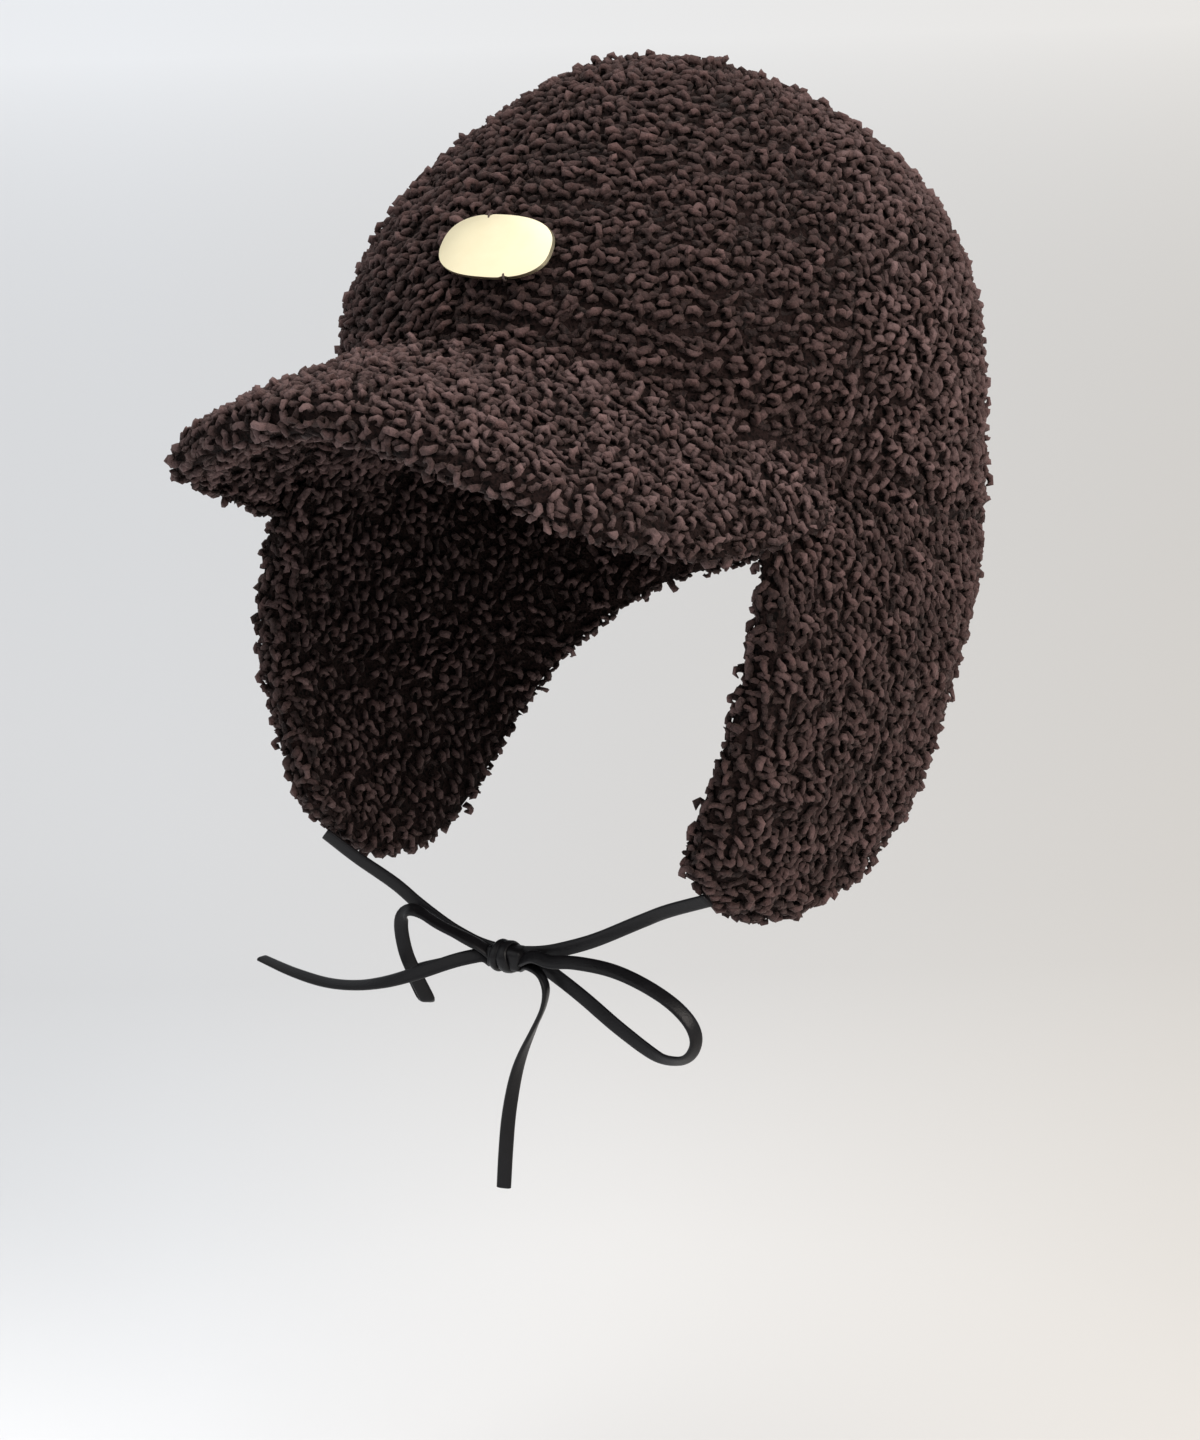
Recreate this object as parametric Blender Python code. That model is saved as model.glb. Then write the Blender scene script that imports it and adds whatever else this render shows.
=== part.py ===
"""A cap of thick curly cloth with a padded brim, two long earflaps that meet at the nape, and flat ties in a bow.

The cap is modelled as it is worn. Z is up, the brim points along -Y and +X is the wearer's left. The origin is
the middle of the head's hollow, at the level where the crown is widest. Lengths are metres.
"""

import math

import bpy
import bmesh
import numpy as np
from mathutils import Vector

# Crown. Its half sizes are taken over the pile, and it is worn tipped back.
HALF_WIDTH = 0.087
HALF_DEPTH = 0.107
DOME_HEIGHT = 0.093
TIP_BACK = math.radians(20.0)
WALL = 0.008
SIDE_SEAM = math.radians(71.0)
SEAM_DEPTH = 0.0022
SEAM_WIDTH = 0.007
SHOULDER_FROM = 0.35
SHOULDER_EASE = 0.038
APEX_RISE = math.radians(88.9)

# Pieces that meet keep this much air between them.
GAP = 0.0003

# Lower rim of the crown, measured down from the crown's own middle line.
RIM_DROP = 0.028
RIM = (
    # turn from the centre front in degrees, drop as a share of RIM_DROP
    (0, 0.80),
    (25, 0.82),
    (41, 0.98),
    (56, 1.10),
    (71, 1.15),
    (90, 1.02),
    (126, 0.88),
    (180, 0.88),
)

# Brim. It is sewn to the crown between the side seams and its corners hang lower than its middle.
BRIM_REACH = 0.061
BRIM_THICK = 0.016
BRIM_SPREAD = 0.012
BRIM_DROOP = 0.016
BRIM_ARCH = 0.0008
BRIM_END_TAPER = 0.4
BRIM_EDGE = (
    # share of the half brim, reach forward, spread sideways, droop below the root, each a share of its size
    (0.00, 1.00, 0.00, 0.00),
    (0.25, 1.02, 0.25, 0.42),
    (0.50, 1.07, 0.60, 0.68),
    (0.70, 1.03, 0.82, 0.88),
    (0.86, 0.82, 0.92, 0.85),
    (1.00, 0.22, 0.60, 0.40),
)

# Earflaps. Each is one padded piece from under the brim's end round to the centre back.
FLAP_DROP = 0.141
FLAP_THICK = 0.017
FLAP_FLARE = 0.70
FLAP_SECTIONS = (
    # turn on the rim in degrees, then out and back halfway down, then out, back and drop of the hem
    # out is a share of HALF_WIDTH, back of HALF_DEPTH and drop of FLAP_DROP
    (57, 0.895, -0.840, 0.715, -0.895, 0.780),
    (66, 0.940, -0.620, 0.715, -0.670, 0.945),
    (78, 0.950, -0.360, 0.735, -0.370, 0.990),
    (95, 0.930, -0.040, 0.790, -0.040, 0.910),
    (115, 0.850, 0.240, 0.760, 0.190, 0.760),
    (140, 0.610, 0.600, 0.590, 0.560, 0.593),
    (160, 0.330, 0.830, 0.320, 0.810, 0.543),
    (180, 0.000, 0.895, 0.000, 0.880, 0.530),
)

# Plain metal plate on the front seam, above the brim.
PLATE_WIDTH = 0.033
PLATE_HEIGHT = 0.0195
PLATE_THICK = 0.0012
PLATE_RISE = math.radians(13.0)
PLATE_TURN = math.radians(4.2)
PLATE_SQUARENESS = 2.5

# Ties. The real ones are flat, and each is drawn here as a round cord of the same section area.
TIE_WIDTH = 0.004
TIE_THICK = 0.0013
TIE_RADIUS = math.sqrt(TIE_WIDTH * TIE_THICK / math.pi)
TIE_TURN = 61.5
TIE_STEP = 0.0064
KNOT_LENGTH = 0.0100
KNOT_DEPTH = 0.0080
KNOT_HEIGHT = 0.0085
KNOT_ROUNDING = 0.0022
KNOT_CENTRE = Vector((-0.005, -0.081, -0.149))

# Where each cord meets the knot, as steps back and up from the middle of its left or right end.
KNOT_TIE = (0.0, 0.0028)
KNOT_LOOP_FRONT = (-0.0016, -0.0001)
KNOT_LOOP_BACK = (0.0016, -0.0001)
KNOT_TAIL = (0.0, -0.0029)

# Routes of the cords between their ends, chosen by hand.
TIE_LEFT_ROUTE = (
    (0.0445, -0.0792, -0.1320),
    (0.0367, -0.0796, -0.1350),
    (0.0223, -0.0802, -0.1412),
    (0.0110, -0.0808, -0.1452),
    (0.0046, -0.0810, -0.1462),
)
TIE_RIGHT_ROUTE = (
    (-0.0450, -0.0792, -0.1332),
    (-0.0370, -0.0798, -0.1378),
    (-0.0270, -0.0804, -0.1425),
    (-0.0190, -0.0809, -0.1453),
    (-0.0146, -0.0810, -0.1462),
)
LOOP_LEFT_ROUTE = (
    (0.0050, -0.0830, -0.1491),
    (0.0118, -0.0840, -0.1487),
    (0.0210, -0.0847, -0.1477),
    (0.0304, -0.0850, -0.1470),
    (0.0426, -0.0842, -0.1495),
    (0.0514, -0.0832, -0.1548),
    (0.0559, -0.0820, -0.1632),
    (0.0535, -0.0803, -0.1697),
    (0.0466, -0.0790, -0.1724),
    (0.0347, -0.0782, -0.1701),
    (0.0184, -0.0782, -0.1622),
    (0.0100, -0.0786, -0.1552),
    (0.0050, -0.0792, -0.1502),
)
LOOP_RIGHT_ROUTE = (
    (-0.0150, -0.0832, -0.1482),
    (-0.0243, -0.0852, -0.1432),
    (-0.0354, -0.0860, -0.1394),
    (-0.0415, -0.0850, -0.1430),
    (-0.0430, -0.0825, -0.1510),
    (-0.0422, -0.0800, -0.1572),
    (-0.0408, -0.0782, -0.1640),
    (-0.0388, -0.0766, -0.1697),
    (-0.0352, -0.0756, -0.1672),
    (-0.0300, -0.0760, -0.1610),
    (-0.0229, -0.0770, -0.1552),
    (-0.0150, -0.0790, -0.1500),
)
TAIL_RIGHT_ROUTE = (
    (-0.0150, -0.0826, -0.1524),
    (-0.0242, -0.0862, -0.1548),
    (-0.0342, -0.0878, -0.1588),
    (-0.0505, -0.0880, -0.1641),
    (-0.0622, -0.0872, -0.1661),
    (-0.0740, -0.0862, -0.1669),
    (-0.0840, -0.0852, -0.1662),
    (-0.0933, -0.0840, -0.1644),
)
TAIL_LEFT_ROUTE = (
    (0.0045, -0.0826, -0.1524),
    (0.0082, -0.0842, -0.1552),
    (0.0090, -0.0850, -0.1597),
    (0.0065, -0.0852, -0.1655),
    (0.0023, -0.0850, -0.1718),
    (-0.0018, -0.0842, -0.1796),
    (-0.0049, -0.0833, -0.1870),
    (-0.0079, -0.0824, -0.1986),
    (-0.0094, -0.0820, -0.2093),
    (-0.0103, -0.0820, -0.2197),
)

# Colours, as red, green and blue from 0 to 1.
CLOTH = (0.055, 0.036, 0.032)
LEATHER = (0.02, 0.018, 0.018)
PALE_GOLD = (0.85, 0.72, 0.42)

# Mesh fineness.
FRONT_STEPS = 8
BACK_STEPS = 12
RISE_STEPS = 12


def both_sides(rows, odd=()):
    """A table's rows and, before them, their mirror images, where the odd columns change their sign."""
    flipped = [tuple(-v if k == 0 or k in odd else v for k, v in enumerate(row)) for row in rows[:0:-1]]
    return (*flipped, *rows)


def smooth_read(rows, at):
    """The columns after the first of a table, read at a value of its first column along a smooth curve."""
    table = np.array(rows, dtype=float)
    keys = table[:, 0]
    values = table[:, 1:]
    at = min(max(at, keys[0]), keys[-1])
    i = int(np.clip(np.searchsorted(keys, at, side="right") - 1, 0, len(keys) - 2))
    span = keys[i + 1] - keys[i]
    share = (at - keys[i]) / span
    slopes = np.gradient(values, keys, axis=0)
    rest = 1.0 - share
    return (
        values[i] * rest * rest * (1.0 + 2.0 * share)
        + values[i + 1] * share * share * (3.0 - 2.0 * share)
        + slopes[i] * span * share * rest * rest
        - slopes[i + 1] * span * share * share * rest
    )


def shoulder_ease(height):
    """The crown's size at a share of its height, as a share of the full dome. Its shoulders slope a little."""
    share = max((height - SHOULDER_FROM) / (1.0 - SHOULDER_FROM), 0.0)
    return 1.0 - SHOULDER_EASE * math.sin(math.pi * min(share * share, 1.0))


def crown_point(turn, rise, inset=0.0):
    """A point of the crown's form. Turn and rise are angles about the tipped axis of the crown."""
    level = math.cos(rise)
    side = level * math.sin(turn)
    front = level * math.cos(turn)
    up = math.sin(rise)
    back = up * math.sin(TIP_BACK) - front * math.cos(TIP_BACK)
    height = up * math.cos(TIP_BACK) + front * math.sin(TIP_BACK)
    width = HALF_WIDTH - inset
    depth = HALF_DEPTH - inset
    if height >= 0.0:
        return Vector((width * side, depth * back, (DOME_HEIGHT - inset) * height)) * shoulder_ease(height)
    spread = math.hypot(side, back)
    return Vector((width * side / spread, depth * back / spread, DOME_HEIGHT * math.asin(height)))


def rim_rise(turn):
    """The crown's lower rim as an angle below its middle line."""
    drop = smooth_read(both_sides(RIM), math.degrees(turn))[0]
    return -drop * RIM_DROP / DOME_HEIGHT


def seam_valley(turn, rise):
    """How far the outer face sinks beside a seam."""
    round_way = math.pi * 2.0
    girth = (HALF_WIDTH + HALF_DEPTH) * 0.5 * max(math.cos(rise), 0.02)
    sink = 0.0
    for seam in (0.0, SIDE_SEAM, -SIDE_SEAM, math.pi):
        apart = (turn - seam + math.pi) % round_way - math.pi
        sink = max(sink, math.exp(-((apart * girth / SEAM_WIDTH) ** 2)))
    return SEAM_DEPTH * sink


def new_object(name, mesh, colour, roughness, metallic=0.0):
    """An object of the mesh with its own plain material."""
    material = bpy.data.materials.new(name)
    material.use_nodes = True
    shader = material.node_tree.nodes["Principled BSDF"]
    shader.inputs["Base Color"].default_value = (*colour, 1.0)
    shader.inputs["Roughness"].default_value = roughness
    shader.inputs["Metallic"].default_value = metallic
    mesh.materials.append(material)
    made = bpy.data.objects.new(name, mesh)
    bpy.context.collection.objects.link(made)
    return made


def mesh_from(bm, name):
    """A smooth shaded mesh with its faces turned outwards."""
    bmesh.ops.remove_doubles(bm, verts=bm.verts, dist=0.00002)
    bmesh.ops.recalc_face_normals(bm, faces=bm.faces)
    mesh = bpy.data.meshes.new(name)
    bm.to_mesh(mesh)
    bm.free()
    mesh.shade_smooth()
    mesh.set_sharp_from_angle(angle=math.radians(50.0))
    return mesh


def two_faced_shell(outer, inner):
    """A closed body from two matching grids of points, joined round their borders."""
    bm = bmesh.new()
    rows = len(outer)
    columns = len(outer[0])
    grids = [[[bm.verts.new(p) for p in row] for row in grid] for grid in (outer, inner)]
    for grid in grids:
        for i in range(rows - 1):
            for j in range(columns - 1):
                bm.faces.new((grid[i][j], grid[i + 1][j], grid[i + 1][j + 1], grid[i][j + 1]))
    border = [(i, 0) for i in range(rows)]
    border += [(rows - 1, j) for j in range(1, columns)]
    border += [(i, columns - 1) for i in range(rows - 2, -1, -1)]
    border += [(0, j) for j in range(columns - 2, 0, -1)]
    for (a, b), (c, d) in zip(border, border[1:] + border[:1]):
        bm.faces.new((grids[0][a][b], grids[0][c][d], grids[1][c][d], grids[1][a][b]))
    return bm


def crown_panel(name, turn_from, turn_to, steps):
    """One gore of the crown, from the rim to the tipped apex."""
    outer = []
    inner = []
    for i in range(steps + 1):
        share = i / steps
        outer_row = []
        inner_row = []
        for j in range(RISE_STEPS + 1):
            plain_turn = turn_from + (turn_to - turn_from) * share
            low = rim_rise(plain_turn)
            rise = low + (APEX_RISE - low) * j / RISE_STEPS
            girth = HALF_WIDTH * max(math.cos(rise), 0.01)
            trim = 0.5 * GAP / girth * (1.0 - 2.0 * share)
            turn = plain_turn + math.copysign(1.0, turn_to - turn_from) * trim
            sink = seam_valley(plain_turn, rise)
            outer_row.append(crown_point(turn, rise, sink))
            inner_row.append(crown_point(turn, rise, WALL))
        outer.append(outer_row)
        inner.append(inner_row)
    mesh = mesh_from(two_faced_shell(outer, inner), name)
    return new_object(name, mesh, CLOTH, 0.95)


def brim_section(share):
    """The closed loop of the brim's section at a share of its half length, negative on the wearer's right."""
    turn = SIDE_SEAM * share
    reach, spread, droop = smooth_read(both_sides(BRIM_EDGE, odd=(2,)), share)
    low = rim_rise(turn)
    thick = BRIM_THICK * (1.0 - BRIM_END_TAPER * abs(share) ** 8)
    high = low + thick / DOME_HEIGHT
    root = [crown_point(turn, low + (high - low) * k / 3, -GAP) for k in range(4)]
    root_middle = (root[0] + root[3]) * 0.5
    edge = root_middle + Vector((spread * BRIM_SPREAD, -reach * BRIM_REACH, -droop * BRIM_DROOP))
    along = edge - root_middle
    length = along.length
    along.normalize()
    up = along.cross(Vector((0.0, 0.0, 1.0))).cross(along).normalized()
    half = thick * 0.5
    run = max(length - half, half * 0.5)
    top = []
    bottom = []
    for k in (0.12, 0.35, 0.6, 0.85):
        arch = BRIM_ARCH * math.sin(math.pi * k)
        middle = root_middle + along * run * k
        top.append(middle + up * (half + arch))
        bottom.append(middle - up * (half - arch))
    centre = root_middle + along * run
    tip = []
    for k in range(7):
        angle = math.radians(90.0 - 30.0 * k)
        tip.append(centre + along * half * math.cos(angle) + up * half * math.sin(angle))
    return root + top + tip + bottom[::-1]


def brim():
    """The padded brim, lofted from section to section."""
    steps = 2 * FRONT_STEPS
    sections = [brim_section(-1.0 + 2.0 * i / steps) for i in range(steps + 1)]
    bm = bmesh.new()
    loops = [[bm.verts.new(p) for p in section] for section in sections]
    for first, second in zip(loops, loops[1:]):
        for k in range(len(first)):
            n = (k + 1) % len(first)
            bm.faces.new((first[k], first[n], second[n], second[k]))
    bm.faces.new(loops[0])
    bm.faces.new(loops[-1])
    return new_object("brim", mesh_from(bm, "brim"), CLOTH, 0.95)


def flap_middle(turn_degrees, down):
    """A point halfway through the earflap's thickness. Down runs from 0 at the crown's rim to 1 at the hem."""
    turn = math.radians(turn_degrees)
    top = crown_point(turn, rim_rise(turn), WALL * 0.5)
    top.z -= GAP
    out, back, hem_out, hem_back, drop = smooth_read(FLAP_SECTIONS, turn_degrees)
    hem = Vector((hem_out * HALF_WIDTH, hem_back * HALF_DEPTH, -drop * FLAP_DROP))
    middle = Vector((out * HALF_WIDTH, back * HALF_DEPTH, (top.z + hem.z) * 0.5))
    half = 0.5**FLAP_FLARE
    bend = (middle - top * (1.0 - half) ** 2 - hem * half * half) / (2.0 * half * (1.0 - half))
    share = down**FLAP_FLARE
    rest = 1.0 - share
    point = top * rest * rest + bend * 2.0 * share * rest + hem * share * share
    point.z = top.z + (hem.z - top.z) * down
    return point


def edge_fullness(distance):
    """Half the thickness that a padded edge has at a distance from its outline, as a share of its full value."""
    reach = min(distance / (FLAP_THICK * 0.5), 1.0)
    return math.sqrt(max(1.0 - (1.0 - reach) ** 2, 0.0))


def flap_grids():
    """The outer and inner faces of the wearer's left earflap."""
    first = FLAP_SECTIONS[0][0]
    last = FLAP_SECTIONS[-1][0]
    fronts = (0.0, 0.012, 0.03, 0.055, 0.095)
    turns = [first + (last - first) * s for s in fronts]
    turns += [first + (last - first) * (0.095 + 0.905 * k / 12) for k in range(1, 12)]
    turns.append(last)
    downs = [k / 8 * 0.88 for k in range(9)] + [0.93, 0.965, 0.988, 1.0]
    nudge = 0.5
    outer = []
    inner = []
    for turn in turns:
        ahead = min(turn + nudge, last)
        behind = max(turn - nudge, first)
        outer_row = []
        inner_row = []
        for down in downs:
            point = flap_middle(turn, down)
            along = flap_middle(ahead, down) - flap_middle(behind, down)
            along.z = 0.0
            out = Vector((0.0, 0.0, 1.0)).cross(along).normalized() * -1.0
            from_front = (point - flap_middle(first, down)).length
            from_hem = (flap_middle(turn, 1.0) - point).length
            swell = min(down / 0.3, 1.0)
            full = WALL + (FLAP_THICK - WALL) * swell * swell * (3.0 - 2.0 * swell)
            half = 0.5 * full * edge_fullness(from_front) * edge_fullness(from_hem)
            if turn == last:
                point.x = GAP * 0.5
                out.x = 0.0
            outer_row.append(point + out * half)
            inner_row.append(point - out * half)
        outer.append(outer_row)
        inner.append(inner_row)
    return outer, inner


def earflap(name, side):
    """One earflap, mirrored to the wearer's right where side is -1."""
    outer, inner = flap_grids()
    grids = [[[Vector((p.x * side, p.y, p.z)) for p in row] for row in grid] for grid in (outer, inner)]
    mesh = mesh_from(two_faced_shell(*grids), name)
    return new_object(name, mesh, CLOTH, 0.95)


def label_plate():
    """The thin oval plate, bent to the crown under it."""
    nudge = 0.01
    across = crown_point(PLATE_TURN + nudge, PLATE_RISE) - crown_point(PLATE_TURN - nudge, PLATE_RISE)
    upward = crown_point(PLATE_TURN, PLATE_RISE + nudge) - crown_point(PLATE_TURN, PLATE_RISE - nudge)
    turn_per_length = 2.0 * nudge / across.length
    rise_per_length = 2.0 * nudge / upward.length
    power = 2.0 / PLATE_SQUARENESS
    sides = 32

    def on_crown(share, k, lift):
        angle = math.pi * 2.0 * k / sides
        u = math.copysign(abs(math.cos(angle)) ** power, math.cos(angle)) * share * PLATE_WIDTH * 0.5
        v = math.copysign(abs(math.sin(angle)) ** power, math.sin(angle)) * share * PLATE_HEIGHT * 0.5
        return crown_point(PLATE_TURN + u * turn_per_length, PLATE_RISE + v * rise_per_length, -lift)

    bm = bmesh.new()
    rings = []
    for share, lift in ((0.5, GAP), (1.0, GAP), (1.0, GAP + PLATE_THICK), (0.5, GAP + PLATE_THICK)):
        rings.append([bm.verts.new(on_crown(share, k, lift)) for k in range(sides)])
    for first, second in zip(rings, rings[1:]):
        for k in range(sides):
            n = (k + 1) % sides
            bm.faces.new((first[k], first[n], second[n], second[k]))
    for ring, lift in ((rings[0], GAP), (rings[-1], GAP + PLATE_THICK)):
        middle = bm.verts.new(crown_point(PLATE_TURN, PLATE_RISE, -lift))
        for k in range(sides):
            bm.faces.new((ring[k], ring[(k + 1) % sides], middle))
    return new_object("label_plate", mesh_from(bm, "label_plate"), PALE_GOLD, 0.35, 1.0)


def knot_end(side, steps):
    """A point just off the knot's left or right end. Side is 1 on the wearer's left."""
    back, up = steps
    return KNOT_CENTRE + Vector((side * (KNOT_LENGTH * 0.5 + GAP), back, up))


def bow_knot():
    """The rounded knot that the cords run into."""
    bm = bmesh.new()
    bmesh.ops.create_cube(bm, size=1.0)
    bmesh.ops.scale(bm, vec=(KNOT_LENGTH, KNOT_DEPTH, KNOT_HEIGHT), verts=bm.verts)
    bmesh.ops.bevel(
        bm, geom=bm.edges[:], offset=KNOT_ROUNDING, segments=3, affect="EDGES", profile=0.5
    )
    bmesh.ops.translate(bm, vec=KNOT_CENTRE, verts=bm.verts)
    return new_object("bow_knot", mesh_from(bm, "bow_knot"), LEATHER, 0.5)


def through(points):
    """Evenly spaced points on a smooth curve through the given ones."""
    ends = [points[0] * 2.0 - points[1]] + list(points) + [points[-1] * 2.0 - points[-2]]
    fine = []
    for i in range(1, len(ends) - 2):
        before, here, there, after = ends[i - 1 : i + 3]
        for k in range(20):
            t = k / 20
            fine.append(
                0.5
                * (
                    here * 2.0
                    + (there - before) * t
                    + (before * 2.0 - here * 5.0 + there * 4.0 - after) * t * t
                    + (here * 3.0 - before - there * 3.0 + after) * t * t * t
                )
            )
    fine.append(points[-1])
    run = [0.0]
    for a, b in zip(fine, fine[1:]):
        run.append(run[-1] + (b - a).length)
    count = max(round(run[-1] / TIE_STEP), 3)
    even = []
    for k in range(count + 1):
        target = run[-1] * k / count
        even.append([float(np.interp(target, run, [p[axis] for p in fine])) for axis in range(3)])
    return even


def cord(name, points):
    """A round cord along a smooth curve through the points."""
    route = through([Vector(p) for p in points])
    curve = bpy.data.curves.new(name, "CURVE")
    curve.dimensions = "3D"
    curve.bevel_depth = TIE_RADIUS
    curve.bevel_resolution = 2
    curve.use_fill_caps = True
    spline = curve.splines.new("POLY")
    spline.points.add(len(route) - 1)
    for point, place in zip(spline.points, route):
        point.co = (*place, 1.0)
    return new_object(name, curve, LEATHER, 0.5)


def tie_start(side):
    """Where a tie leaves the underside of an earflap's front corner."""
    hem = flap_middle(TIE_TURN, 1.0)
    return Vector((side * (hem.x - TIE_RADIUS), hem.y, hem.z - TIE_RADIUS - GAP * 2.0))


def cords():
    """The two ties from the earflaps to the knot, the bow's two loops and its two loose ends."""
    cord("tie_left", [tie_start(1.0), *TIE_LEFT_ROUTE, knot_end(1.0, KNOT_TIE)])
    cord("tie_right", [tie_start(-1.0), *TIE_RIGHT_ROUTE, knot_end(-1.0, KNOT_TIE)])
    cord("bow_loop_left", [knot_end(1.0, KNOT_LOOP_FRONT), *LOOP_LEFT_ROUTE, knot_end(1.0, KNOT_LOOP_BACK)])
    cord("bow_loop_right", [knot_end(-1.0, KNOT_LOOP_FRONT), *LOOP_RIGHT_ROUTE, knot_end(-1.0, KNOT_LOOP_BACK)])
    cord("tie_end_left", [knot_end(1.0, KNOT_TAIL), *TAIL_LEFT_ROUTE])
    cord("tie_end_right", [knot_end(-1.0, KNOT_TAIL), *TAIL_RIGHT_ROUTE])


def main():
    """Builds every piece of the cap."""
    for old in list(bpy.data.objects):
        bpy.data.objects.remove(old)
    crown_panel("crown_front_left", 0.0, SIDE_SEAM, FRONT_STEPS)
    crown_panel("crown_front_right", 0.0, -SIDE_SEAM, FRONT_STEPS)
    crown_panel("crown_back_left", SIDE_SEAM, math.pi, BACK_STEPS)
    crown_panel("crown_back_right", -SIDE_SEAM, -math.pi, BACK_STEPS)
    brim()
    earflap("earflap_left", 1.0)
    earflap("earflap_right", -1.0)
    label_plate()
    bow_knot()
    cords()


main()
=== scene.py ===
# %% [markdown]
# # A curly earflap cap
# This lesson dresses a measured model of a winter cap. The cap has a round crown of four panels, a short
# padded brim, two long earflaps, a small metal plate on the front and flat leather ties knotted in a bow.
# The cloth is a curly pile: thousands of short loops of yarn, each 3 to 4 mm across, stand on a knitted
# backing. Most of the lesson is about making those loops as real geometry, because they shape the cap's
# whole outline. The measured solids come in first. New pieces are built exactly where they are, and then
# stand for them.

# %% Load the measured model
import math

import bmesh
import bpy
import numpy as np
from mathutils import Matrix, Vector, noise


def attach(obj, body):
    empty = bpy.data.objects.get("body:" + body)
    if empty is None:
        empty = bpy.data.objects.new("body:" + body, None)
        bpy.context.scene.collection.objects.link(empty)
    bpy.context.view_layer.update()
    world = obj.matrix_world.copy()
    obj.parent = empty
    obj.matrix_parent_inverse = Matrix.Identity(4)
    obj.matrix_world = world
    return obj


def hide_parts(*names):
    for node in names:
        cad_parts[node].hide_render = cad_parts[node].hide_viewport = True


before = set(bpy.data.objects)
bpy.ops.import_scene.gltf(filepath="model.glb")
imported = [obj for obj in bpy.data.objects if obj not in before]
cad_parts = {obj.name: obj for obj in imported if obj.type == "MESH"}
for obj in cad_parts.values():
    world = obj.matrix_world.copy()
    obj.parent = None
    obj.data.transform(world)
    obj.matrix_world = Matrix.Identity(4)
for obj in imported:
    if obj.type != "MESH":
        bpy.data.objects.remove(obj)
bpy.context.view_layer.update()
MM = 0.001
print("nodes:", sorted(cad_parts))

# %% [markdown]
# ## The camera
# The cap is seen from the front and a little from its left, from just above. A camera that is placed by an
# angle round the cap and a height above it is easier to reason about than typed rotations. The cap's middle
# isn't in the middle of the picture. A lens shift could do that, but turning the camera does it without
# changing the perspective, so the camera is turned by the small angle between the two lines of sight.

# %% Place the camera
TURN, RISE, ROLL, AWAY = math.radians(33), math.radians(10), math.radians(1.8), 1.0
FOCAL_PIXELS, WIDE, HIGH = 3500, 1200, 1440
MIDDLE_PIXEL = (665, 380)


def camera_axes():
    """The directions right, up and back of a camera that looks straight at the cap's middle."""
    back = Vector((math.sin(TURN) * math.cos(RISE), -math.cos(TURN) * math.cos(RISE), math.sin(RISE)))
    right = Vector((math.cos(TURN), math.sin(TURN), 0))
    up = back.cross(right)
    rolled_up = up * math.cos(ROLL) + right * math.sin(ROLL)
    rolled_right = right * math.cos(ROLL) - up * math.sin(ROLL)
    return rolled_right, rolled_up, back


RIGHT, UP, TOWARDS = camera_axes()
bpy.ops.object.camera_add()
camera = bpy.context.object
camera.data.sensor_width = 36
camera.data.lens = FOCAL_PIXELS / HIGH * camera.data.sensor_width
sight = Vector((MIDDLE_PIXEL[0] - WIDE / 2, HIGH / 2 - MIDDLE_PIXEL[1], -FOCAL_PIXELS))
turn_aside = sight.rotation_difference(Vector((0, 0, -1))).to_matrix()
axes = Matrix((RIGHT, UP, TOWARDS)).transposed() @ turn_aside
camera.matrix_world = Matrix.Translation(TOWARDS * AWAY) @ axes.to_4x4()
bpy.context.scene.camera = camera
print("camera at", [round(c, 3) for c in camera.location], "lens", round(camera.data.lens, 1), "mm")

# %% [markdown]
# ## Small helpers
# Blender's operators act on whatever is selected, so each step starts by selecting only its own object. Edit
# mode steps pick vertices in code, by where they are, and then call the operator on them.

# %% Select, edit and finish one object


def only(*objects):
    """Selects these objects alone, in object mode. The first is the active one."""
    if bpy.context.mode != "OBJECT":
        bpy.ops.object.mode_set(mode="OBJECT")
    bpy.ops.object.select_all(action="DESELECT")
    for thing in objects:
        thing.select_set(True)
    bpy.context.view_layer.objects.active = objects[0]


def edit(thing, mode="VERT", everything=True):
    """Enters edit mode with everything or nothing selected."""
    only(thing)
    bpy.ops.object.mode_set(mode="EDIT")
    bpy.ops.mesh.select_mode(type=mode)
    bpy.ops.mesh.select_all(action="SELECT" if everything else "DESELECT")


def pick(thing, test):
    """Selects the vertices of the object in edit mode whose place passes a test."""
    mesh = bmesh.from_edit_mesh(thing.data)
    for vertex in mesh.verts:
        vertex.select = bool(test(vertex.co))
    mesh.select_flush_mode()
    bmesh.update_edit_mesh(thing.data)


def subdivide(thing):
    """Adds a subdivision surface of two levels and applies it."""
    only(thing)
    added = thing.modifiers.new("Subdivision", "SUBSURF")
    added.levels = added.render_levels = 2
    bpy.ops.object.modifier_apply(modifier=added.name)


def linked(name, mesh):
    """A new object in the scene with this mesh."""
    made = bpy.data.objects.new(name, mesh)
    bpy.context.collection.objects.link(made)
    return made


def settle(thing, name):
    """Names the object and moves its place into its mesh."""
    only(thing)
    bpy.ops.object.transform_apply(location=True, rotation=True, scale=True)
    thing.name = name
    thing.data.name = name
    return thing


# %% [markdown]
# ## The ties
# The ties are strips of soft leather about 4 mm wide and 1.3 mm thick, one sewn inside each earflap's
# corner. They meet under the chin in a bow: a knot, two loops and two loose ends. A strip that hangs free
# turns over as it goes, and that turning is what tells the eye that it is flat. A curve with a bevel could
# carry a round cord. For a strip it is simpler to walk along the route and set a small section at each step,
# turned to face a chosen way, so the width can roll from one face to the other. The routes are the measured
# ones, point by point.

# %% Routes of the strips
KNOT = Vector((-0.005, -0.081, -0.149))
STRIP_WIDTH, STRIP_THICK = 4.2 * MM, 1.35 * MM
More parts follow.
